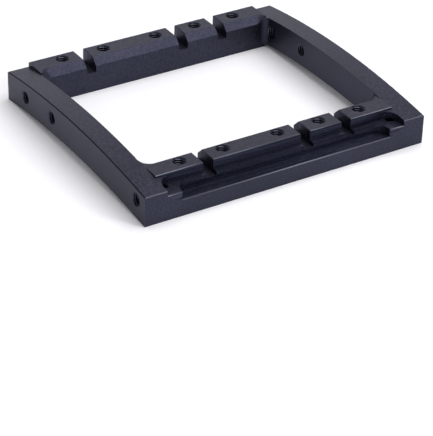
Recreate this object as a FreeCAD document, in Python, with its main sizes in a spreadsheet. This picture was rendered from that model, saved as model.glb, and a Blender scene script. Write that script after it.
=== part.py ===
# Servo bracket: a flat rectangular frame milled from one piece of aluminium.
# Two arched side bars lie along the rails of a model car and are screwed to them from the sides.
# Two straight cross rails carry the servo lugs: raised seats, cut by slots, with tapped holes.
# Millimetres. +X runs along the cross rails, +Y from the stepped rail to the plain one, +Z up.
# The origin is the middle of the footprint, on the surface that the frame lies on.

import FreeCAD, Part
import math
import os
import Sketcher

SIZES = {
    # holes in the seats, along the rails: these set the frame's width
    "first_hole_inset": 12.0,
    "hole_pitch": 10.0,
    "wide_pitch": 13.0,
    "last_hole_inset": 11.5,
    # holes in the seats, from rail to rail: these and the upper shelf set the frame's depth
    "front_seat_hole_inset": 2.8,
    "row_spacing": 49.0,
    "back_seat_hole_inset": 2.1,
    "tap_drill": 2.5,
    "hole_mouth": 3.0,
    # side bars: an arched top and an arched underside
    "bar_end_height": 6.6,
    "bar_rise": 2.1,
    "underside_rise": 1.9,
    "bar_thickness": 4.8,
    "bar_shoulder": 5.0,
    "window_corner_radius": 1.5,
    # cross rails: seats with a bevel on the window side, left by a conical cutter
    "rail_depth": 5.95,
    "seat_lift": 1.05,
    "bevel_width": 1.6,
    "bevel_cutter_radius": 2.45,
    "bevel_end_inset": 7.45,
    # slots across the seats, down to just below the upper shelf
    "slot_width": 2.3,
    "slot_groove_depth": 0.85,
    # two shelves milled into the front of the stepped rail
    "upper_shelf_depth": 4.6,
    "upper_shelf_drop": 1.1,
    "upper_shelf_margin": 5.05,
    "upper_shelf_corner": 3.0,
    "lower_shelf_depth": 3.25,
    "lower_shelf_drop": 1.75,
    "lower_shelf_margin": 8.5,
    "lower_shelf_corner": 2.5,
    # tapped holes in the outer faces of the side bars
    "corner_hole_inset": 8.2,
    "corner_hole_height": 4.25,
    "middle_hole_inset": 20.0,
    "middle_hole_height": 5.2,
    "end_hole_inset": 3.5,
    "end_hole_height": 4.4,
    "end_hole_reach": 7.0,
    # edges
    "edge_break": 0.18,
}
SHEET = "sizes"
CLEAR = 2.0
NEAR = 0.02


class Length:
    """A length worked out from the sheet: its value, and the expression that says the same."""

    def __init__(self, value, text):
        self.value = value
        self.text = text

    def __add__(self, other):
        return Length(self.value + other.value, f"({self.text} + {other.text})")

    def __sub__(self, other):
        return Length(self.value - other.value, f"({self.text} - {other.text})")

    def __mul__(self, factor):
        return Length(self.value * factor, f"({self.text} * {factor})")

    def __neg__(self):
        return self * -1


def size(alias):
    return Length(SIZES[alias], f"{SHEET}.{alias}")


def fixed(value):
    return Length(value, str(value))


# Places that several features share, measured from the middle of the footprint
frame_width = size("first_hole_inset") + size("hole_pitch") * 3 + size("wide_pitch") + size("last_hole_inset")
front_row_depth = size("upper_shelf_depth") + size("front_seat_hole_inset")
frame_depth = front_row_depth + size("row_spacing") + size("back_seat_hole_inset")
side_face = frame_width * 0.5
end_face = frame_depth * 0.5
window_side = side_face - size("bar_thickness")
shoulder = side_face - size("bar_shoulder")
seat_front = size("upper_shelf_depth") - end_face
window_front = seat_front + size("rail_depth")
window_back = end_face - size("rail_depth")
front_row = seat_front + size("front_seat_hole_inset")
back_row = end_face - size("back_seat_hole_inset")
first_hole = size("first_hole_inset") - side_face
second_hole = first_hole + size("hole_pitch")
third_hole = second_hole + size("wide_pitch")
fourth_hole = third_hole + size("hole_pitch")
fifth_hole = fourth_hole + size("hole_pitch")
hole_columns = [first_hole, second_hole, third_hole, fourth_hole, fifth_hole]

# Levels, set off from the height of the bars' ends. The last one is above the whole frame.
crown = size("bar_end_height") + size("bar_rise")
seat_level = size("bar_end_height") + size("seat_lift")
upper_shelf_level = size("bar_end_height") - size("upper_shelf_drop")
lower_shelf_level = upper_shelf_level - size("lower_shelf_drop")
slot_floor = upper_shelf_level - size("slot_groove_depth")
above = crown + seat_level
beyond = end_face + fixed(CLEAR)


def make_sheet(doc):
    """The driving dimensions, one named cell each."""
    sheet = doc.addObject("Spreadsheet::Sheet", SHEET)
    for row, (alias, value) in enumerate(SIZES.items(), start=1):
        sheet.set(f"A{row}", alias)
        sheet.set(f"B{row}", str(value))
        sheet.setAlias(f"B{row}", alias)
    doc.recompute()
    return sheet


def origin_plane(body, role):
    return next(plane for plane in body.Origin.OriginFeatures if plane.Role == role)


def new_sketch(body, name, role, offset=None):
    """A sketch on one of the body's origin planes, or parallel to it at an offset."""
    sketch = body.newObject("Sketcher::SketchObject", name)
    sketch.AttachmentSupport = [(origin_plane(body, role), "")]
    sketch.MapMode = "FlatFace"
    if offset is not None:
        sketch.setExpression(".AttachmentOffset.Base.z", offset.text)
    return sketch


def pin(sketch, axis, geometry, point, place):
    """Holds one coordinate of a point at a place measured from the sketch's origin."""
    ends = (-1, 1, geometry, point)
    if place.value < 0:
        place = -place
        ends = (geometry, point, -1, 1)
    index = sketch.addConstraint(Sketcher.Constraint(f"Distance{axis}", *ends, place.value))
    sketch.setExpression(f"Constraints[{index}]", place.text)


def pin_radius(sketch, geometry, radius):
    index = sketch.addConstraint(Sketcher.Constraint("Radius", geometry, radius.value))
    sketch.setExpression(f"Constraints[{index}]", radius.text)


def line(x1, y1, x2, y2):
    return Part.LineSegment(FreeCAD.Vector(x1, y1, 0), FreeCAD.Vector(x2, y2, 0))


def add_outline(sketch, corners):
    """A closed outline of straight lines through corners, each held in both directions."""
    first = sketch.GeometryCount
    count = len(corners)
    points = [FreeCAD.Vector(x.value, y.value, 0) for x, y in corners]
    for i in range(count):
        sketch.addGeometry(Part.LineSegment(points[i], points[(i + 1) % count]), False)
    for i in range(count):
        following = first + (i + 1) % count
        sketch.addConstraint(Sketcher.Constraint("Coincident", first + i, 2, following, 1))
    for i, (x, y) in enumerate(corners):
        pin(sketch, "X", first + i, 1, x)
        pin(sketch, "Y", first + i, 1, y)


def add_rectangle(sketch, left, right, low, high):
    add_outline(sketch, [(left, low), (right, low), (right, high), (left, high)])


def arc_radius(chord, rise):
    """Radius of an arc from its chord and its rise."""
    value = (chord.value ** 2 / 4 + rise.value ** 2) / (2 * rise.value)
    text = f"(({chord.text} * {chord.text} / 4 + {rise.text} * {rise.text}) / (2 * {rise.text}))"
    return Length(value, text)


def add_arc(sketch, foot, rise):
    """An arc over the frame's whole depth, foot high at its ends. Its ends are points 1 and 2."""
    radius = arc_radius(frame_depth, rise)
    centre = foot + rise - radius
    half = end_face.value
    angle = math.acos(half / radius.value)
    circle = Part.Circle(FreeCAD.Vector(0, centre.value, 0), FreeCAD.Vector(0, 0, 1), radius.value)
    arc = sketch.addGeometry(Part.ArcOfCircle(circle, angle, math.pi - angle), False)
    sketch.addConstraint(Sketcher.Constraint("PointOnObject", arc, 3, -2))
    pin_radius(sketch, arc, radius)
    return arc


def add_shelf(sketch, half_length, mouth, back, corner):
    """A shelf seen from above: open at its mouth, with two corners rounded by the end mill."""
    x = half_length.value
    r = corner.value
    low = mouth.value
    high = back.value
    right_circle = Part.Circle(FreeCAD.Vector(x - r, high - r, 0), FreeCAD.Vector(0, 0, 1), r)
    left_circle = Part.Circle(FreeCAD.Vector(r - x, high - r, 0), FreeCAD.Vector(0, 0, 1), r)
    mouth_line = sketch.addGeometry(line(-x, low, x, low), False)
    right_line = sketch.addGeometry(line(x, low, x, high - r), False)
    right_arc = sketch.addGeometry(Part.ArcOfCircle(right_circle, 0, math.pi / 2), False)
    back_line = sketch.addGeometry(line(x - r, high, r - x, high), False)
    left_arc = sketch.addGeometry(Part.ArcOfCircle(left_circle, math.pi / 2, math.pi), False)
    left_line = sketch.addGeometry(line(-x, high - r, -x, low), False)
    sketch.addConstraint(Sketcher.Constraint("Coincident", mouth_line, 2, right_line, 1))
    sketch.addConstraint(Sketcher.Constraint("Tangent", right_line, 2, right_arc, 1))
    sketch.addConstraint(Sketcher.Constraint("Tangent", right_arc, 2, back_line, 1))
    sketch.addConstraint(Sketcher.Constraint("Tangent", back_line, 2, left_arc, 1))
    sketch.addConstraint(Sketcher.Constraint("Tangent", left_arc, 2, left_line, 1))
    sketch.addConstraint(Sketcher.Constraint("Coincident", left_line, 2, mouth_line, 1))
    sketch.addConstraint(Sketcher.Constraint("Horizontal", mouth_line))
    sketch.addConstraint(Sketcher.Constraint("Horizontal", back_line))
    sketch.addConstraint(Sketcher.Constraint("Vertical", right_line))
    sketch.addConstraint(Sketcher.Constraint("Vertical", left_line))
    pin(sketch, "X", mouth_line, 1, -half_length)
    pin(sketch, "X", mouth_line, 2, half_length)
    pin(sketch, "Y", mouth_line, 1, mouth)
    pin(sketch, "Y", back_line, 1, back)
    pin_radius(sketch, right_arc, corner)
    pin_radius(sketch, left_arc, corner)


def add_cutter_path(sketch, half_length, y, radius):
    """The outline swept by a round cutter that runs along X at y."""
    x = half_length.value
    v = y.value
    r = radius.value
    up = FreeCAD.Vector(0, 0, 1)
    right_circle = Part.Circle(FreeCAD.Vector(x, v, 0), up, r)
    left_circle = Part.Circle(FreeCAD.Vector(-x, v, 0), up, r)
    low_line = sketch.addGeometry(line(-x, v - r, x, v - r), False)
    right_arc = sketch.addGeometry(Part.ArcOfCircle(right_circle, -math.pi / 2, math.pi / 2), False)
    high_line = sketch.addGeometry(line(x, v + r, -x, v + r), False)
    left_arc = sketch.addGeometry(Part.ArcOfCircle(left_circle, math.pi / 2, 3 * math.pi / 2), False)
    sketch.addConstraint(Sketcher.Constraint("Tangent", low_line, 2, right_arc, 1))
    sketch.addConstraint(Sketcher.Constraint("Tangent", right_arc, 2, high_line, 1))
    sketch.addConstraint(Sketcher.Constraint("Tangent", high_line, 2, left_arc, 1))
    sketch.addConstraint(Sketcher.Constraint("Tangent", left_arc, 2, low_line, 1))
    for arc, place in ((right_arc, half_length), (left_arc, -half_length)):
        pin(sketch, "X", arc, 3, place)
        pin(sketch, "Y", arc, 3, y)
        pin_radius(sketch, arc, radius)


def add_circle(sketch, x, y, diameter):
    """A hole's circle, held at its centre."""
    centre = FreeCAD.Vector(x.value, y.value, 0)
    circle = Part.Circle(centre, FreeCAD.Vector(0, 0, 1), diameter.value / 2)
    index = sketch.addGeometry(circle, False)
    pin(sketch, "X", index, 3, x)
    pin(sketch, "Y", index, 3, y)
    pin_radius(sketch, index, diameter * 0.5)


def cut(body, sketch, name, depth=None, taper=0):
    """A pocket from the sketch, to a depth or through everything, that must take metal away."""
    before = body.Shape.Volume
    pocket = body.newObject("PartDesign::Pocket", name)
    pocket.Profile = sketch
    if depth is None:
        pocket.Type = "ThroughAll"
        pocket.Midplane = True
    else:
        pocket.setExpression("Length", depth.text)
        pocket.TaperAngle = taper
    body.Document.recompute()
    if not body.Shape.Volume < before - NEAR:
        raise RuntimeError(f"{name} takes nothing away")
    return pocket


def across(feature, half_length):
    """Makes a pad or a pocket from a sketch on the middle plane run as far to both sides."""
    feature.Midplane = True
    feature.setExpression("Length", (half_length * 2).text)
    feature.Document.recompute()


def mirror(body, original, name):
    """Repeats a feature of one side bar on the other."""
    mirrored = body.newObject("PartDesign::Mirrored", name)
    mirrored.Originals = [original]
    mirrored.MirrorPlane = (origin_plane(body, "YZ_Plane"), [""])
    body.Tip = mirrored
    body.Document.recompute()


def edges_where(shape, test):
    """Names of the edges whose bounding box passes the test."""
    return [f"Edge{i}" for i, edge in enumerate(shape.Edges, start=1) if test(edge.BoundBox)]


def at(low, high, place):
    """Whether a bounding box is flat in one direction and lies at a place there."""
    return abs(low - place) < NEAR and abs(high - place) < NEAR


def is_top_of_side(box):
    """The arched top edges of the two side faces."""
    on_side = at(box.XMin, box.XMax, -side_face.value) or at(box.XMin, box.XMax, side_face.value)
    return on_side and box.ZMin > SIZES["bar_end_height"] - NEAR


def is_top_of_end(box):
    """The straight top edges of the front and back faces."""
    on_end = at(box.YMin, box.YMax, -end_face.value) or at(box.YMin, box.YMax, end_face.value)
    return on_end and box.ZMin > SIZES["bar_end_height"] - NEAR


def is_window_corner(box):
    left_or_right = at(box.XMin, box.XMax, -window_side.value) or at(box.XMin, box.XMax, window_side.value)
    front_or_back = at(box.YMin, box.YMax, window_front.value) or at(box.YMin, box.YMax, window_back.value)
    return left_or_right and front_or_back


def is_shelf_edge(box):
    """The front edges of both shelves."""
    in_front = at(box.YMin, box.YMax, -end_face.value)
    return in_front and NEAR < box.ZMin and box.ZMax < upper_shelf_level.value + NEAR


def break_edges(body, name, test):
    """A small chamfer on the edges that pass the test."""
    base = body.Tip
    chamfer = body.newObject("PartDesign::Chamfer", name)
    chamfer.Base = (base, edges_where(base.Shape, test))
    chamfer.setExpression("Size", size("edge_break").text)
    body.Document.recompute()


def make_slab(body):
    """The blank: a slab as wide as the frame, arched above and below, with its window."""
    sketch = new_sketch(body, "slab_profile", "YZ_Plane")
    top = add_arc(sketch, size("bar_end_height"), size("bar_rise"))
    underside = add_arc(sketch, fixed(0.0), size("underside_rise"))
    height = SIZES["bar_end_height"]
    half = end_face.value
    back = sketch.addGeometry(line(half, 0, half, height), False)
    front = sketch.addGeometry(line(-half, height, -half, 0), False)
    sketch.addConstraint(Sketcher.Constraint("Coincident", back, 2, top, 1))
    sketch.addConstraint(Sketcher.Constraint("Coincident", top, 2, front, 1))
    sketch.addConstraint(Sketcher.Constraint("Coincident", front, 2, underside, 2))
    sketch.addConstraint(Sketcher.Constraint("Coincident", underside, 1, back, 1))
    sketch.addConstraint(Sketcher.Constraint("Vertical", back))
    sketch.addConstraint(Sketcher.Constraint("Vertical", front))
    sketch.addConstraint(Sketcher.Constraint("PointOnObject", back, 1, -1))
    pin(sketch, "X", back, 1, end_face)
    pin(sketch, "Y", back, 2, size("bar_end_height"))
    pin(sketch, "X", front, 1, -end_face)
    slab = body.newObject("PartDesign::Pad", "slab")
    slab.Profile = sketch
    across(slab, side_face)
    break_edges(body, "side_edge_breaks", is_top_of_side)
    break_edges(body, "end_edge_breaks", is_top_of_end)

    opening = new_sketch(body, "window_outline", "XY_Plane")
    add_rectangle(opening, -window_side, window_side, window_front, window_back)
    window = cut(body, opening, "window")
    corners = body.newObject("PartDesign::Fillet", "window_corners")
    corners.Base = (window, edges_where(window.Shape, is_window_corner))
    corners.setExpression("Radius", size("window_corner_radius").text)
    body.Document.recompute()


def make_rails(body):
    """The cross rails: flat underneath, with a flat seat on top whose outer edge is broken."""
    ground = fixed(0.0)
    top = seat_level
    broken = size("edge_break")
    profiles = new_sketch(body, "rail_profiles", "YZ_Plane")
    add_outline(profiles, [
        (-end_face, ground),
        (window_front, ground),
        (window_front, top),
        (seat_front + broken, top),
        (seat_front, top - broken),
        (seat_front, upper_shelf_level),
        (-end_face, upper_shelf_level),
    ])
    add_outline(profiles, [
        (window_back, ground),
        (end_face, ground),
        (end_face, top - broken),
        (end_face - broken, top),
        (window_back, top),
    ])
    rails = body.newObject("PartDesign::Pad", "rails")
    rails.Profile = profiles
    across(rails, shoulder)

    over_seats = new_sketch(body, "space_over_seats", "YZ_Plane")
    add_rectangle(over_seats, seat_front, window_front, top, above)
    add_rectangle(over_seats, window_back, beyond, top, above)
    seats = body.newObject("PartDesign::Pocket", "seats")
    seats.Profile = over_seats
    across(seats, shoulder)


def make_bevels(body):
    """Bevels along the window side of the seats, where a conical cutter ran from end to end."""
    radius = size("bevel_cutter_radius") + crown - seat_level
    reach = side_face - size("bevel_end_inset")
    offset = size("bevel_cutter_radius") - size("bevel_width")
    for rail, y in (("front", window_front + offset), ("back", window_back - offset)):
        path = new_sketch(body, f"{rail}_bevel_path", "XY_Plane", crown)
        add_cutter_path(path, reach, y, radius)
        cut(body, path, f"{rail}_bevel", radius - fixed(0.1), -45)


def make_shelves(body):
    """Two shelves down the front of the stepped rail, the lower one inside the upper one."""
    upper = new_sketch(body, "upper_shelf_outline", "XY_Plane", above)
    add_shelf(upper, side_face - size("upper_shelf_margin"), -beyond, seat_front, size("upper_shelf_corner"))
    cut(body, upper, "upper_shelf", above - upper_shelf_level)
    lower = new_sketch(body, "lower_shelf_outline", "XY_Plane", above)
    lower_back = size("lower_shelf_depth") - end_face
    add_shelf(lower, side_face - size("lower_shelf_margin"), -beyond, lower_back, size("lower_shelf_corner"))
    cut(body, lower, "lower_shelf", above - lower_shelf_level)
    break_edges(body, "shelf_edge_breaks", is_shelf_edge)


def make_slots(body):
    """Slots across both rails, midway between the holes of each close pair, with broken top edges."""
    top = seat_level
    broken = size("edge_break")
    half = size("slot_width") * 0.5
    flare = half + broken
    sketch = new_sketch(body, "slot_profiles", "XZ_Plane")
    for left, right in ((first_hole, second_hole), (third_hole, fourth_hole), (fourth_hole, fifth_hole)):
        middle = (left + right) * 0.5
        add_outline(sketch, [
            (middle - half, slot_floor),
            (middle + half, slot_floor),
            (middle + half, top - broken),
            (middle + flare, top),
            (middle + flare, above),
            (middle - flare, above),
            (middle - flare, top),
            (middle - half, top - broken),
        ])
    cut(body, sketch, "slots")


def drill(body, sketch, name, depth=None):
    """Tapping holes at the sketch's circles, each with a countersunk mouth."""
    before = body.Shape.Volume
    hole = body.newObject("PartDesign::Hole", name)
    hole.Profile = sketch
    body.Document.recompute()
    hole.Threaded = False
    hole.setExpression("Diameter", size("tap_drill").text)
    hole.HoleCutType = "Countersink"
    hole.HoleCutCustomValues = True
    hole.setExpression("HoleCutDiameter", size("hole_mouth").text)
    hole.HoleCutCountersinkAngle = 90
    if depth is None:
        hole.DepthType = "ThroughAll"
    else:
        hole.DepthType = "Dimension"
        hole.DrillPoint = "Angled"
        hole.setExpression("Depth", depth.text)
    body.Document.recompute()
    if not body.Shape.Volume < before - NEAR:
        raise RuntimeError(f"{name} takes nothing away")
    return hole


def make_seat_holes(body):
    """Two rows of five tapped holes for the servo lugs."""
    sketch = new_sketch(body, "seat_hole_places", "XY_Plane", seat_level)
    for row in (front_row, back_row):
        for column in hole_columns:
            add_circle(sketch, column, row, size("tap_drill"))
    drill(body, sketch, "seat_holes")


def make_side_holes(body):
    """Three tapped holes in each bar's outer face: two go through the bar, one is blind."""
    through = new_sketch(body, "bar_hole_places", "YZ_Plane", side_face)
    corner = end_face - size("corner_hole_inset")
    middle = end_face - size("middle_hole_inset")
    add_circle(through, corner, size("corner_hole_height"), size("tap_drill"))
    add_circle(through, middle, size("middle_hole_height"), size("tap_drill"))
    past_the_bar = size("bar_thickness") + size("window_corner_radius")
    bar_holes = drill(body, through, "bar_holes", past_the_bar)
    mirror(body, bar_holes, "bar_holes_of_both")
    blind = new_sketch(body, "end_hole_place", "YZ_Plane", side_face)
    add_circle(blind, size("end_hole_inset") - end_face, size("end_hole_height"), size("tap_drill"))
    end_hole = drill(body, blind, "end_hole", size("end_hole_reach"))
    mirror(body, end_hole, "end_holes")


def make_bracket(doc):
    body = doc.addObject("PartDesign::Body", "servo_bracket")
    body.Label = "servo_bracket"
    make_slab(body)
    make_rails(body)
    make_bevels(body)
    make_shelves(body)
    make_slots(body)
    make_seat_holes(body)
    make_side_holes(body)
    return body


def check(doc, parts):
    """Stops before anything is written if an object failed or a part is not one sound solid."""
    for thing in doc.Objects:
        if "Invalid" in thing.State or "Error" in thing.State:
            raise RuntimeError(f"{thing.Name} failed: {thing.State}")
    for part in parts:
        shape = part.Shape
        if shape.isNull() or not shape.isValid() or len(shape.Solids) != 1:
            raise RuntimeError(f"{part.Label} is not one valid solid")


doc = FreeCAD.newDocument("servo_bracket")
make_sheet(doc)
bracket = make_bracket(doc)
doc.recompute()
check(doc, [bracket])
os.makedirs("parts", exist_ok=True)
bracket.Shape.exportStep(f"parts/{bracket.Label}.step")
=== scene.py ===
# Servo bracket: looks, camera, floor and light. Metres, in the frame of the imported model.

import bmesh
import bpy
import math
from mathutils import Matrix, Vector


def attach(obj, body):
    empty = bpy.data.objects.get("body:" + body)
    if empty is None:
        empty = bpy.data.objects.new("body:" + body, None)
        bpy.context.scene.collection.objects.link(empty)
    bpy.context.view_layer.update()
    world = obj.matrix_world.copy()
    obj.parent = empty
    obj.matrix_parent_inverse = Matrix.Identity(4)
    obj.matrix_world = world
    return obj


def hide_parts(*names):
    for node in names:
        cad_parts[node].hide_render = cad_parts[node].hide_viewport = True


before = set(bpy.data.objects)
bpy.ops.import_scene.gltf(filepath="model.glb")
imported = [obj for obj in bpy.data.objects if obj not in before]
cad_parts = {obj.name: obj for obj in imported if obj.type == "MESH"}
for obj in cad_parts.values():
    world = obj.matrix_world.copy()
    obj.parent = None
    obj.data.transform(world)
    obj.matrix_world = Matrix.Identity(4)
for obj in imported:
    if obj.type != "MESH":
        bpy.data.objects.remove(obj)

MM = 0.001

# The photograph's camera: angles, its eye and lens in millimetres, its clipping in metres
HEAD = math.radians(-32.630)
ELEVATION = math.radians(32.418)
ROLL = math.radians(1.736)
EYE = Vector((-189.734, -299.165, 200.608)) * MM
LENS = 159.95
SENSOR = 36.0
NEAREST = 0.01
FARTHEST = 20.0

# M3 x 0.5 threads, in millimetres; each row is its share of the pitch and its radius
PITCH = 0.5
CREST = 1.19
ROOT = 1.48
THREAD_ROWS = ((0.0, CREST), (0.08, CREST), (0.5, ROOT), (0.58, ROOT))
THREAD_STEPS = 32

# The tapped holes, in millimetres; each side hole is its y, its z and its depth
HOLE_COLUMNS = (-21.25, -11.25, 1.75, 11.75, 21.75)
HOLE_ROWS = (-21.85, 27.15)
THROUGH = 10.0
SIDE_FACE = 33.25
SIDE_HOLES = ((21.05, 4.25, 6.5), (9.25, 5.2, 6.5), (-25.75, 4.4, 6.0))
OVER = 1.0
HOLE_REACH = ROOT + 0.05

# How near corners are joined, in millimetres, before the threads are cut and after
BLANK_WELD = 0.0005
CUT_WELD = 0.0001

# Shading: the largest angle that stays smooth, less on the arches; what counts as square on and as aslant
SMOOTH_ANGLE = math.radians(20)
ARCH_ANGLE = math.radians(2.5)
SQUARE_ON = 0.95
BREAK_SLOPE = (0.60, 0.80)
BREAK_WIDTH = 0.3

# Where the seats, the shelves and the slots lie, in millimetres, for the marks on their faces
SEAT_FRONT = -24.4
END_FACE = 29.25
SEAT_LEVEL = 7.65
SHELF_END = 28.25
SHELF_FLOOR = 3.7
UPPER_SHELF = 5.4
SLOTS_END = 20.0

# How strong the marks are: streaks on the upper shelf's floor, the painted highlight on the bars' ends and in
# the holes
UPPER_STREAKS = 0.3
END_HIGHLIGHT = 0.5
MOUTH_HIGHLIGHT = 0.1
THREAD_HIGHLIGHT = 0.2

# The metal's colours: its own and what multiplies it, each from dark to light; then the painted highlight and
# the painted shade on edges
METAL = ((0.043, 0.045, 0.068), (0.050, 0.052, 0.079))
SPECKS = ((0.66, 0.66, 0.67), (1.04, 1.04, 1.03))
STREAKS = ((0.38, 0.43, 0.52), (1.18, 1.22, 1.30))
DUST = ((0.78, 0.78, 0.77), (1.18, 1.17, 1.15))
PAINTED_HIGHLIGHT = (0.12, 0.125, 0.15)
PAINTED_SHADE_EDGE = (0.012, 0.012, 0.017)

# The metal's roughness, how much less it is in the tapped holes, and how deep its grain is, in millimetres
SATIN = (0.40, 0.52)
TAPPED_POLISH = 0.26
GRAIN_DEPTH = 0.02
SPECK_DEPTH = 0.03

# How fine the patterns are, per metre; the streaks are drawn out along one axis
CLOUD_SCALE = 90.0
DUST_SCALE = 1500.0
SPECK_SCALE = 2600.0
GRAIN_SCALE = 6500.0
SHELF_STRETCH = (40.0, 3600.0, 3600.0)
SLOT_STRETCH = (3500.0, 3500.0, 90.0)
PAPER_SCALE = 6.0

# Where most of a noise's values lie
NOISE_LOW = 0.3
NOISE_HIGH = 0.7

# The floor's colour, roughness and half width, in metres, and the light from all round
PAPER = ((0.90, 0.90, 0.905), (0.915, 0.915, 0.92))
PAPER_ROUGHNESS = 0.8
FLOOR_HALF = 3.0
SKY = (0.975, 0.96, 1.0)
SKY_STRENGTH = 0.65
WHITE = (1.0, 1.0, 1.0)


def make_material(name):
    """A node material: the material, its nodes, its links and its surface shader."""
    material = bpy.data.materials.new(name)
    material.use_nodes = True
    nodes = material.node_tree.nodes
    return material, nodes, material.node_tree.links, nodes["Principled BSDF"]


def add_noise(nodes, links, coordinates, scale, detail=2.0, roughness=0.5):
    """Plain noise over the coordinates."""
    noise = nodes.new("ShaderNodeTexNoise")
    noise.inputs["Scale"].default_value = scale
    noise.inputs["Detail"].default_value = detail
    noise.inputs["Roughness"].default_value = roughness
    links.new(coordinates, noise.inputs["Vector"])
    return noise.outputs["Fac"]


def add_ramp(nodes, links, factor, low, high, start=NOISE_LOW, end=NOISE_HIGH):
    """Two colours, mixed by a factor."""
    ramp = nodes.new("ShaderNodeValToRGB")
    ramp.color_ramp.elements[0].position = start
    ramp.color_ramp.elements[0].color = (*low, 1)
    ramp.color_ramp.elements[1].position = end
    ramp.color_ramp.elements[1].color = (*high, 1)
    links.new(factor, ramp.inputs["Fac"])
    return ramp.outputs["Color"]


def add_range(nodes, links, factor, low, high):
    """A number that runs from low to high with a factor."""
    spread = nodes.new("ShaderNodeMapRange")
    spread.inputs["From Min"].default_value = NOISE_LOW
    spread.inputs["From Max"].default_value = NOISE_HIGH
    spread.inputs["To Min"].default_value = low
    spread.inputs["To Max"].default_value = high
    links.new(factor, spread.inputs["Value"])
    return spread.outputs["Result"]


def add_bump(nodes, links, height, strength, distance, normal=None):
    """A shading bump, on top of another one where that is given."""
    bump = nodes.new("ShaderNodeBump")
    bump.inputs["Strength"].default_value = strength
    bump.inputs["Distance"].default_value = distance
    links.new(height, bump.inputs["Height"])
    if normal is not None:
        links.new(normal, bump.inputs["Normal"])
    return bump.outputs["Normal"]


def add_mix(nodes, links, factor, first, second, blend="MIX"):
    """Two colours blended by a factor, which is a number or a socket; the second may be a plain colour."""
    mix = nodes.new("ShaderNodeMix")
    mix.data_type = "RGBA"
    mix.blend_type = blend
    links.new(first, mix.inputs["A"])
    if isinstance(factor, float):
        mix.inputs["Factor"].default_value = factor
    else:
        links.new(factor, mix.inputs["Factor"])
    if isinstance(second, tuple):
        mix.inputs["B"].default_value = (*second, 1)
    else:
        links.new(second, mix.inputs["B"])
    return mix.outputs["Result"]


def multiply(nodes, links, first, second):
    """One colour times another."""
    return add_mix(nodes, links, 1.0, first, second, "MULTIPLY")


def add_mark(nodes, name):
    """A mark of the mesh's faces, 0 or up to 1."""
    mark = nodes.new("ShaderNodeAttribute")
    mark.attribute_name = name
    return mark.outputs["Fac"]


def add_tool_marks(nodes, links, coordinates, stretch):
    """Streaks that a cutter leaves: noise drawn out along one axis."""
    mapping = nodes.new("ShaderNodeMapping")
    mapping.inputs["Scale"].default_value = stretch
    links.new(coordinates, mapping.inputs["Vector"])
    return add_noise(nodes, links, mapping.outputs["Vector"], scale=1.0, detail=2.0, roughness=0.6)


def add_streaks(nodes, links, coordinates, colour, mark, stretch):
    """The colour, streaked by a cutter where the mesh's mark says so."""
    streaks = add_tool_marks(nodes, links, coordinates, stretch)
    streaks = add_ramp(nodes, links, streaks, *STREAKS, start=0.38, end=0.60)
    return add_mix(nodes, links, add_mark(nodes, mark), colour, multiply(nodes, links, colour, streaks))


def add_dust(nodes, links, coordinates, colour):
    """The colour, mottled a little where a face looks up."""
    upward = nodes.new("ShaderNodeSeparateXYZ")
    links.new(nodes.new("ShaderNodeNewGeometry").outputs["Normal"], upward.inputs["Vector"])
    dust = add_noise(nodes, links, coordinates, DUST_SCALE, detail=3.0, roughness=0.7)
    dust = add_ramp(nodes, links, dust, *DUST, start=0.36, end=0.64)
    return add_mix(nodes, links, upward.outputs["Z"], colour, multiply(nodes, links, colour, dust))


def add_roughness(nodes, links, specks):
    """Satin, with the tapped holes shinier."""
    polish = nodes.new("ShaderNodeMath")
    polish.operation = "MULTIPLY_ADD"
    polish.inputs[1].default_value = -TAPPED_POLISH
    links.new(add_mark(nodes, "tapped"), polish.inputs[0])
    links.new(add_range(nodes, links, specks, *SATIN), polish.inputs[2])
    return polish.outputs["Value"]


def make_anodised_aluminium():
    """Black anodised aluminium: satin, a little blue, with tool marks in its shelves and slots, a painted
    highlight on broken edges and in the holes, and painted shade on the side bars' broken edges.
    """
    material, nodes, links, shader = make_material("anodised_aluminium")
    coordinates = nodes.new("ShaderNodeTexCoord").outputs["Object"]
    clouds = add_noise(nodes, links, coordinates, CLOUD_SCALE, detail=3.0)
    specks = add_noise(nodes, links, coordinates, SPECK_SCALE, roughness=0.6)
    grain = add_noise(nodes, links, coordinates, GRAIN_SCALE, detail=1.0)
    colour = add_ramp(nodes, links, clouds, *METAL)
    speckled = add_ramp(nodes, links, specks, *SPECKS, start=0.33, end=0.66)
    colour = multiply(nodes, links, colour, speckled)
    colour = add_streaks(nodes, links, coordinates, colour, "milled_shelf", SHELF_STRETCH)
    colour = add_streaks(nodes, links, coordinates, colour, "milled_slot", SLOT_STRETCH)
    colour = add_dust(nodes, links, coordinates, colour)
    # Painted highlight: a lighter colour on the broken edges across the rails and in the tapped holes stands
    # for highlights
    colour = add_mix(nodes, links, add_mark(nodes, "painted_highlight"), colour, PAINTED_HIGHLIGHT)
    # Painted shade: a near-black colour on the side bars' broken edges stands for a dark reflection
    colour = add_mix(nodes, links, add_mark(nodes, "painted_shade_edge"), colour, PAINTED_SHADE_EDGE)
    links.new(colour, shader.inputs["Base Color"])
    links.new(add_roughness(nodes, links, specks), shader.inputs["Roughness"])
    blasted = add_bump(nodes, links, grain, strength=0.35, distance=GRAIN_DEPTH * MM)
    blasted = add_bump(nodes, links, specks, strength=0.3, distance=SPECK_DEPTH * MM, normal=blasted)
    links.new(blasted, shader.inputs["Normal"])
    shader.inputs["Metallic"].default_value = 1.0
    return material


def make_floor_material():
    """Plain pale paper with the faintest unevenness."""
    material, nodes, links, shader = make_material("pale_floor")
    coordinates = nodes.new("ShaderNodeTexCoord").outputs["Object"]
    clouds = add_noise(nodes, links, coordinates, PAPER_SCALE)
    colour = add_ramp(nodes, links, clouds, *PAPER)
    links.new(colour, shader.inputs["Base Color"])
    shader.inputs["Roughness"].default_value = PAPER_ROUGHNESS
    return material


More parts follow.
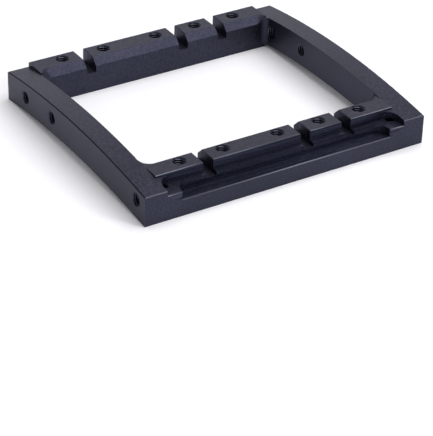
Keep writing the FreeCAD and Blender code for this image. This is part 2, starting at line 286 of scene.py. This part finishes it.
def make_screw_form(length):
    """The form that a tap leaves: a threaded rod along Z from -PITCH up, as a mesh in metres."""
    turns = math.ceil(length / PITCH) + 1
    rows = [((turn + phase) * PITCH, radius) for turn in range(turns) for phase, radius in THREAD_ROWS]
    wrap = len(THREAD_ROWS)
    last_row = len(rows) - 1
    last_step = THREAD_STEPS - 1
    form = bmesh.new()
    grid = []
    for height, radius in rows:
        ring = []
        for step in range(THREAD_STEPS):
            part = step / THREAD_STEPS
            angle = 2 * math.pi * part
            place = (radius * math.cos(angle), radius * math.sin(angle), height + (part - 1) * PITCH)
            ring.append(form.verts.new(Vector(place) * MM))
        grid.append(ring)
    for row in range(last_row):
        for step in range(last_step):
            low, high = grid[row], grid[row + 1]
            form.faces.new((low[step], low[step + 1], high[step + 1], high[step]))
    for row in range(last_row - wrap):
        seam = (grid[row][last_step], grid[row + wrap][0], grid[row + wrap + 1][0], grid[row + 1][last_step])
        form.faces.new(seam)
    bottom = grid[0] + [grid[row][0] for row in range(wrap, 0, -1)]
    top = grid[last_row] + [grid[row][last_step] for row in range(last_row - 1, last_row - wrap - 1, -1)]
    for ring, height in ((bottom, -PITCH), (top, rows[-1][0])):
        centre = form.verts.new((0, 0, height * MM))
        for i, vertex in enumerate(ring):
            form.faces.new((vertex, ring[(i + 1) % len(ring)], centre))
    bmesh.ops.recalc_face_normals(form, faces=form.faces)
    return form


def add_tap(taps, length, place, turn=Matrix.Identity(4)):
    """Adds one tap's form to the taps, its foot at a place, turned as told."""
    form = make_screw_form(length)
    form.transform(Matrix.Translation(Vector(place) * MM) @ turn)
    mesh = bpy.data.meshes.new("tap")
    form.to_mesh(mesh)
    form.free()
    taps.from_mesh(mesh)
    bpy.data.meshes.remove(mesh)


def make_taps():
    """All the taps' forms in one object: ten upright, and three into each side face."""
    taps = bmesh.new()
    for y in HOLE_ROWS:
        for x in HOLE_COLUMNS:
            add_tap(taps, THROUGH, (x, y, -OVER))
    for side in (-1, 1):
        inwards = Matrix.Rotation(math.radians(-90 * side), 4, "Y")
        for y, z, depth in SIDE_HOLES:
            add_tap(taps, depth + OVER, (side * (SIDE_FACE + OVER), y, z), inwards)
    mesh = bpy.data.meshes.new("taps")
    taps.to_mesh(mesh)
    taps.free()
    return bpy.data.objects.new("taps", mesh)


def weld(mesh):
    """Joins corners that the cut left a hair apart, so that no face is without area."""
    form = bmesh.new()
    form.from_mesh(mesh)
    bmesh.ops.remove_doubles(form, verts=form.verts, dist=CUT_WELD * MM)
    form.to_mesh(mesh)
    form.free()


def shade_smooth(mesh):
    """Smooth over round faces and the arches, sharp where two faces meet in an edge."""
    form = bmesh.new()
    form.from_mesh(mesh)
    for face in form.faces:
        face.smooth = True
    for edge in form.edges:
        upward = all(face.normal.z > SQUARE_ON for face in edge.link_faces)
        edge.smooth = edge.is_manifold and edge.calc_face_angle() < (ARCH_ANGLE if upward else SMOOTH_ANGLE)
    form.to_mesh(mesh)
    form.free()


def is_at_side(face):
    """Whether a face lies at a bar's outer face."""
    return abs(face.calc_center_median().x) > (SIDE_FACE - BREAK_WIDTH) * MM


def is_break(face):
    """Whether a face belongs to a broken edge of a seat, a shelf, a slot, an end or a side."""
    place = face.calc_center_median() / MM
    slope = face.normal
    at_end = place.y < SEAT_FRONT or place.y > END_FACE - BREAK_WIDTH
    in_slot = place.z > SEAT_LEVEL - BREAK_WIDTH and abs(slope.x) > BREAK_SLOPE[0]
    aslant = BREAK_SLOPE[0] < slope.z < BREAK_SLOPE[1]
    return aslant and (at_end or in_slot or is_at_side(face))


def is_across(face):
    """Whether a broken edge runs along the cross rails, and not along a side bar."""
    return abs(face.normal.x) < BREAK_SLOPE[0] or abs(face.calc_center_median().x) < SLOTS_END * MM


def edge_highlight(face):
    """How strong the painted highlight on a broken edge is: full along the rails, less at the bars' ends,
    none in the slots.
    """
    if abs(face.normal.y) < BREAK_SLOPE[0]:
        return 0.0
    return END_HIGHLIGHT if abs(face.calc_center_median().x) > SHELF_END * MM else 1.0


def hole_highlight(face):
    """How strong the painted highlight on a tapped hole's face is: at its mouth and on its threads, each by
    its own strength. None outside the holes.
    """
    corners = [vertex.co / MM for vertex in face.verts]
    middle = sum(corners, Vector()) / len(corners)
    innermost = min(abs(corner.x) for corner in corners)
    for y in HOLE_ROWS:
        for x in HOLE_COLUMNS:
            if all(math.hypot(corner.x - x, corner.y - y) < HOLE_REACH for corner in corners):
                return MOUTH_HIGHLIGHT if middle.z > SEAT_LEVEL - BREAK_WIDTH else THREAD_HIGHLIGHT
    for y, z, depth in SIDE_HOLES:
        in_depth = innermost > SIDE_FACE - depth - OVER
        if in_depth and all(math.hypot(corner.y - y, corner.z - z) < HOLE_REACH for corner in corners):
            return MOUTH_HIGHLIGHT if abs(middle.x) > SIDE_FACE - BREAK_WIDTH else THREAD_HIGHLIGHT
    return None


def shelf_streaks(face):
    """How strong the cutter's streaks are on a face: full on the shelves' faces, faint on the upper floor."""
    place = face.calc_center_median() / MM
    if place.y > SEAT_FRONT or abs(place.x) > SHELF_END or place.z < SHELF_FLOOR:
        return 0.0
    return UPPER_STREAKS if face.normal.z > SQUARE_ON and place.z > UPPER_SHELF else 1.0


def is_in_slot(face):
    """Whether a face is a wall of a slot."""
    return abs(face.normal.x) > SQUARE_ON and abs(face.calc_center_median().x) < SLOTS_END * MM


def mark_faces(mesh):
    """Marks for the material, by name. Gives the faces of the edges broken across."""
    form = bmesh.new()
    form.from_mesh(mesh)
    marks = {"painted_highlight": [], "painted_shade_edge": [], "tapped": [], "milled_shelf": [], "milled_slot": []}
    breaks = set()
    for face in form.faces:
        broken = is_break(face) and is_across(face)
        # Painted highlight in the tapped holes, and below it on the broken edges across the rails
        in_hole = hole_highlight(face)
        painted_highlight = 0.0 if in_hole is None else in_hole
        if broken:
            breaks.add(face.index)
            painted_highlight = edge_highlight(face)
        plain = not broken and in_hole is None
        marks["painted_highlight"].append(painted_highlight)
        marks["tapped"].append(float(in_hole is not None))
        # Painted shade on the side bars' broken edges
        marks["painted_shade_edge"].append(float(is_break(face) and not broken and is_at_side(face)))
        marks["milled_shelf"].append(shelf_streaks(face) if plain else 0.0)
        marks["milled_slot"].append(float(plain and is_in_slot(face)))
    form.free()
    for name, values in marks.items():
        mesh.attributes.new(name, "FLOAT", "FACE").data.foreach_set("value", values)
    return breaks


def round_breaks(mesh, breaks):
    """Shades the broken edges as rounded: their shading turns from one neighbour's slope to the other's."""
    form = bmesh.new()
    form.from_mesh(mesh)
    slopes = {}
    for edge in form.edges:
        beside = [face for face in edge.link_faces if face.index not in breaks]
        if len(edge.link_faces) == 2 and len(beside) == 1 and edge.calc_length() > BREAK_WIDTH * MM:
            for vertex in edge.verts:
                slopes.setdefault(vertex.index, []).append(beside[0].normal.copy())
    form.free()
    normals = [corner.vector.copy() for corner in mesh.corner_normals]
    for index in breaks:
        for corner in mesh.polygons[index].loop_indices:
            found = slopes.get(mesh.loops[corner].vertex_index)
            if found:
                normals[corner] = sum(found, Vector()).normalized()
    mesh.normals_split_custom_set(normals)


def make_bracket(node):
    """The frame with threads cut in its tapped holes, smooth over its arches."""
    blank = bmesh.new()
    blank.from_mesh(node.data)
    blank.transform(node.matrix_world)
    bmesh.ops.remove_doubles(blank, verts=blank.verts, dist=BLANK_WELD * MM)
    mesh = bpy.data.meshes.new("bracket_blank")
    blank.to_mesh(mesh)
    blank.free()
    bracket = bpy.data.objects.new("bracket", mesh)
    taps = make_taps()
    for thing in (bracket, taps):
        bpy.context.scene.collection.objects.link(thing)
    tapping = bracket.modifiers.new("tapping", "BOOLEAN")
    tapping.operation = "DIFFERENCE"
    tapping.solver = "EXACT"
    tapping.object = taps
    graph = bpy.context.evaluated_depsgraph_get()
    finished = bpy.data.meshes.new_from_object(bracket.evaluated_get(graph))
    bracket.modifiers.clear()
    bracket.data = finished
    bpy.data.objects.remove(taps)
    weld(finished)
    shade_smooth(finished)
    round_breaks(finished, mark_faces(finished))
    return bracket


def make_floor():
    """A large pale floor that the bracket lies on."""
    mesh = bpy.data.meshes.new("floor")
    half = FLOOR_HALF
    corners = ((-half, -half, 0), (half, -half, 0), (half, half, 0), (-half, half, 0))
    mesh.from_pydata(corners, [], [(0, 1, 2, 3)])
    floor = bpy.data.objects.new("floor", mesh)
    bpy.context.scene.collection.objects.link(floor)
    floor.data.materials.append(make_floor_material())
    return floor


def add_light(name, place, width, height, power, tint=WHITE):
    """A soft rectangular lamp at a place, in metres, turned towards the bracket."""
    data = bpy.data.lights.new(name, "AREA")
    data.shape = "RECTANGLE"
    data.size = width
    data.size_y = height
    data.energy = power
    data.color = tint
    lamp = bpy.data.objects.new(name, data)
    lamp.location = place
    lamp.rotation_euler = (-Vector(place)).to_track_quat("-Z", "Y").to_euler()
    bpy.context.scene.collection.objects.link(lamp)


def make_world():
    """Soft light from all round, and a view transform that leaves the pale floor white."""
    world = bpy.data.worlds.new("studio")
    world.use_nodes = True
    background = world.node_tree.nodes["Background"]
    background.inputs["Color"].default_value = (*SKY, 1)
    background.inputs["Strength"].default_value = SKY_STRENGTH
    bpy.context.scene.world = world
    bpy.context.scene.view_settings.view_transform = "Standard"


def make_camera():
    """The photograph's camera: head, elevation and roll about its own view line."""
    right = Vector((math.cos(HEAD), math.sin(HEAD), 0))
    ahead = Vector((-math.sin(HEAD) * math.cos(ELEVATION), math.cos(HEAD) * math.cos(ELEVATION),
                    -math.sin(ELEVATION)))
    up = right.cross(ahead)
    across = right * math.cos(ROLL) + up * math.sin(ROLL)
    upward = up * math.cos(ROLL) - right * math.sin(ROLL)
    data = bpy.data.cameras.new("camera")
    data.sensor_fit = "HORIZONTAL"
    data.sensor_width = SENSOR
    data.lens = LENS
    data.clip_start = NEAREST
    data.clip_end = FARTHEST
    camera = bpy.data.objects.new("camera", data)
    turn = Matrix((across, upward, -ahead)).transposed().to_4x4()
    camera.matrix_world = Matrix.Translation(EYE) @ turn
    bpy.context.scene.collection.objects.link(camera)
    bpy.context.scene.camera = camera


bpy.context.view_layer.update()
make_camera()
make_world()
make_floor()
add_light("softbox_above", (0.25, -0.05, 1.0), width=0.8, height=0.8, power=6.0, tint=(1.0, 0.985, 1.0))
add_light("softbox_back", (0.5, 0.95, 0.42), width=0.8, height=0.3, power=0.9)
add_light("softbox_front", (0.47, -0.7, 0.53), width=0.25, height=0.25, power=3.0, tint=(0.93, 0.98, 1.0))

bracket = make_bracket(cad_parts["servo_bracket"])
bracket.data.materials.clear()
bracket.data.materials.append(make_anodised_aluminium())
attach(bracket, "root")
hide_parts("servo_bracket")

bpy.context.view_layer.update()
